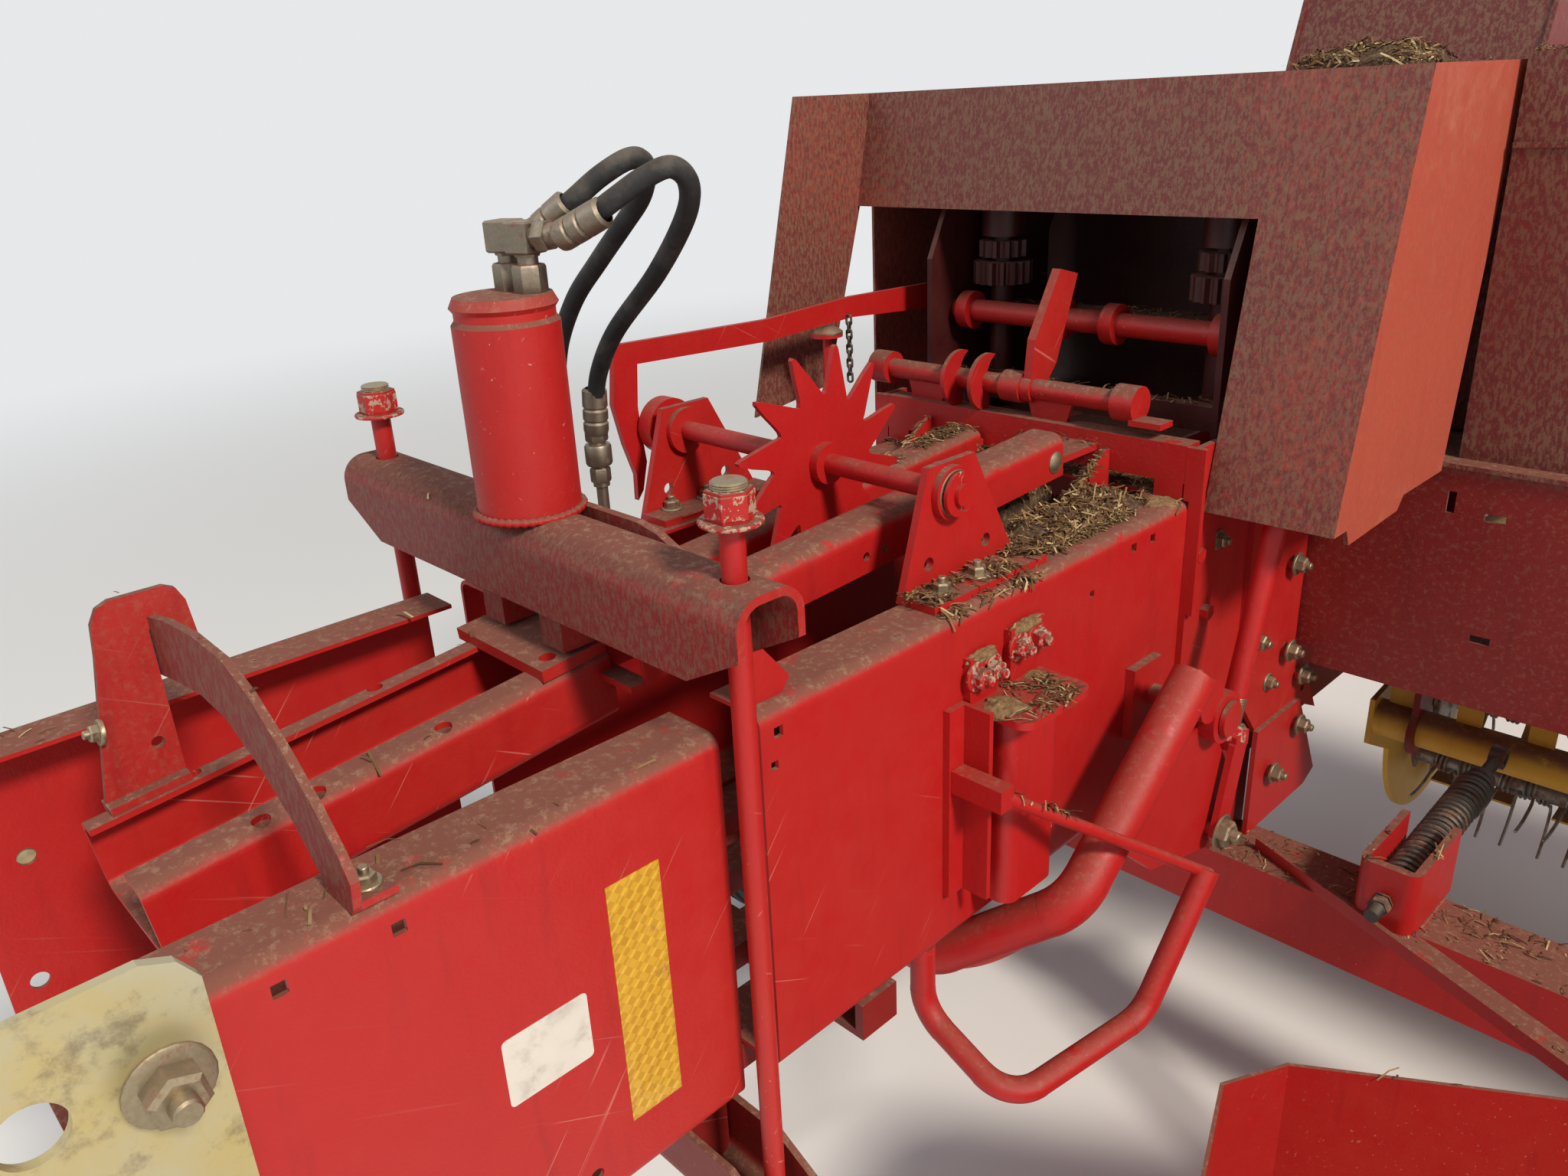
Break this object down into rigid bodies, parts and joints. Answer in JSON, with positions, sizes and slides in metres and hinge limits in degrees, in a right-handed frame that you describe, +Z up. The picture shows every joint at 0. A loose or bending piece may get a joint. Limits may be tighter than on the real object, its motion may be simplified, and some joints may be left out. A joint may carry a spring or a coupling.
{
  "type": "square baler",
  "caption": "Pull-type farm baler that makes small rectangular bales: rear bale case with density beams, star wheel, twister hood, needle yoke, side pickup, tongue and jack.",
  "frame": {"origin": "centre of the bounding box at ground level", "axes": "+Y forward along the line of travel, +X to the right-hand side where the pickup is, +Z up"},
  "size_m": [2.7126, 5.555, 1.733],
  "materials": {
    "red_paint": "sun-faded red paint with dust and chips",
    "shaded_red_paint": "darker red paint, dull and dusty",
    "yellow_paint": "yellow paint",
    "worn_steel": "bare worn steel",
    "zinc_plate": "yellow zinc plating",
    "rubber_hose": "black rubber and black plastic guard",
    "tyre": "black tyre on a painted rim"
  },
  "bodies": {
    "chassis": {"right_side_sheets": "red_paint", "left_side_sheets": "red_paint", "junction_plates": "red_paint", "plunger_case": "red_paint", "bottom_rails": "shaded_red_paint", "top_rails": "red_paint", "top_beam": "red_paint", "bottom_beam": "shaded_red_paint", "tie_rods": "red_paint", "density_cylinder": "red_paint", "hydraulic_lines": "rubber_hose", "star_brackets": "red_paint", "twister_frame": "shaded_red_paint", "needle_guard": "red_paint", "hay_dogs": "red_paint", "bale_guide": "red_paint", "rear_hitch_plates": "zinc_plate", "feed_housing": "red_paint", "tall_shield": "shaded_red_paint", "axle_beam": "red_paint", "lift_spring": "worn_steel", "wire_box": "red_paint", "main_frame": "shaded_red_paint", "pickup_hangers": "shaded_red_paint", "gearbox": "red_paint"},
    "star_wheel": {"star_wheel": "red_paint"},
    "metering_arm": {"metering_arm": "red_paint"},
    "hood": {"hood": "red_paint"},
    "right_twister": {"right_twister": "shaded_red_paint"},
    "left_twister": {"left_twister": "shaded_red_paint"},
    "tucker_shaft": {"tucker_shaft": "shaded_red_paint"},
    "needle_yoke": {"needle_yoke": "red_paint"},
    "lift_rod": {"lift_rod": "red_paint"},
    "plunger": {"plunger": "shaded_red_paint"},
    "tine_reel": {"tine_reel": "worn_steel"},
    "gauge_wheel": {"gauge_wheel": "tyre"},
    "left_wheel": {"left_wheel": "tyre"},
    "right_wheel": {"right_wheel": "tyre"},
    "tongue": {"tongue": "red_paint"},
    "jack_leg": {"jack_leg": "worn_steel"},
    "flywheel": {"flywheel": "red_paint"},
    "driveline": {"driveline": "rubber_hose"},
    "pickup": {"pickup_frame": "yellow_paint", "strippers": "yellow_paint", "wind_guard": "yellow_paint"}
  },
  "joints": [
    {"name": "star_wheel_spin", "type": "hinge", "parent": "chassis", "child": "star_wheel", "pos_m": [-0.65125, -1.9075, 1.136], "axis": [1, 0, 0], "continuous": true},
    {"name": "metering_arm_lift", "type": "hinge", "parent": "chassis", "child": "metering_arm", "pos_m": [-0.92525, -1.3555, 1.216], "axis": [-1, 0, 0], "range_deg": [0, 8]},
    {"name": "hood_lift", "type": "hinge", "parent": "chassis", "child": "hood", "pos_m": [-0.65125, -1.1205, 1.483], "axis": [-1, 0, 0], "range_deg": [0, 60]},
    {"name": "right_twister_spin", "type": "hinge", "parent": "chassis", "child": "right_twister", "pos_m": [-0.48625, -1.3575, 1.04], "axis": [0, 0, 1], "continuous": true},
    {"name": "left_twister_spin", "type": "hinge", "parent": "chassis", "child": "left_twister", "pos_m": [-0.81625, -1.3575, 1.04], "axis": [0, 0, 1], "continuous": true},
    {"name": "tucker_shaft_turn", "type": "hinge", "parent": "chassis", "child": "tucker_shaft", "pos_m": [-0.65125, -1.3975, 1.205], "axis": [1, 0, 0], "continuous": true},
    {"name": "needle_lift", "type": "hinge", "parent": "chassis", "child": "needle_yoke", "pos_m": [-0.65125, -1.6075, 0.824], "axis": [1, 0, 0], "range_deg": [0, 75]},
    {"name": "lift_rod_swing", "type": "hinge", "parent": "needle_yoke", "child": "lift_rod", "pos_m": [-0.33925, -1.5845, 0.66], "axis": [-1, 0, 0], "range_deg": [0, 75]},
    {"name": "plunger_stroke", "type": "slide", "parent": "chassis", "child": "plunger", "axis": [0, -1, 0], "range_m": [0, 0.76]},
    {"name": "pickup_lift", "type": "hinge", "parent": "chassis", "child": "pickup", "pos_m": [-0.65125, -0.8975, 0.512], "axis": [1, 0, 0], "range_deg": [0, 12]},
    {"name": "tine_reel_spin", "type": "hinge", "parent": "pickup", "child": "tine_reel", "pos_m": [-0.65125, -0.5975, 0.452], "axis": [1, 0, 0], "continuous": true},
    {"name": "gauge_wheel_spin", "type": "hinge", "parent": "pickup", "child": "gauge_wheel", "pos_m": [1.28625, -0.6175, 0.25], "axis": [1, 0, 0], "continuous": true},
    {"name": "left_wheel_spin", "type": "hinge", "parent": "chassis", "child": "left_wheel", "pos_m": [-1.19625, -1.3225, 0.3935], "axis": [1, 0, 0], "continuous": true},
    {"name": "right_wheel_spin", "type": "hinge", "parent": "chassis", "child": "right_wheel", "pos_m": [1.03875, -1.3225, 0.343], "axis": [1, 0, 0], "continuous": true},
    {"name": "tongue_swing", "type": "hinge", "parent": "chassis", "child": "tongue", "pos_m": [-0.80125, 0.0325, 0.42], "axis": [0, 0, 1], "range_deg": [-12, 12]},
    {"name": "jack_slide", "type": "slide", "parent": "tongue", "child": "jack_leg", "axis": [0, 0, 1], "range_m": [0, 0.32]},
    {"name": "flywheel_spin", "type": "hinge", "parent": "chassis", "child": "flywheel", "pos_m": [-0.65125, 0.6025, 0.81], "axis": [0, 1, 0], "continuous": true},
    {"name": "driveline_swing", "type": "hinge", "parent": "chassis", "child": "driveline", "pos_m": [-0.65125, 0.8325, 0.81], "axis": [0, 0, 1], "range_deg": [-20, 20]}
  ],
  "couplings": [
    {"joint": "lift_rod_swing", "follows": "needle_lift", "ratio": 1},
    {"joint": "driveline_swing", "follows": "tongue_swing", "ratio": 1.58}
  ]
}
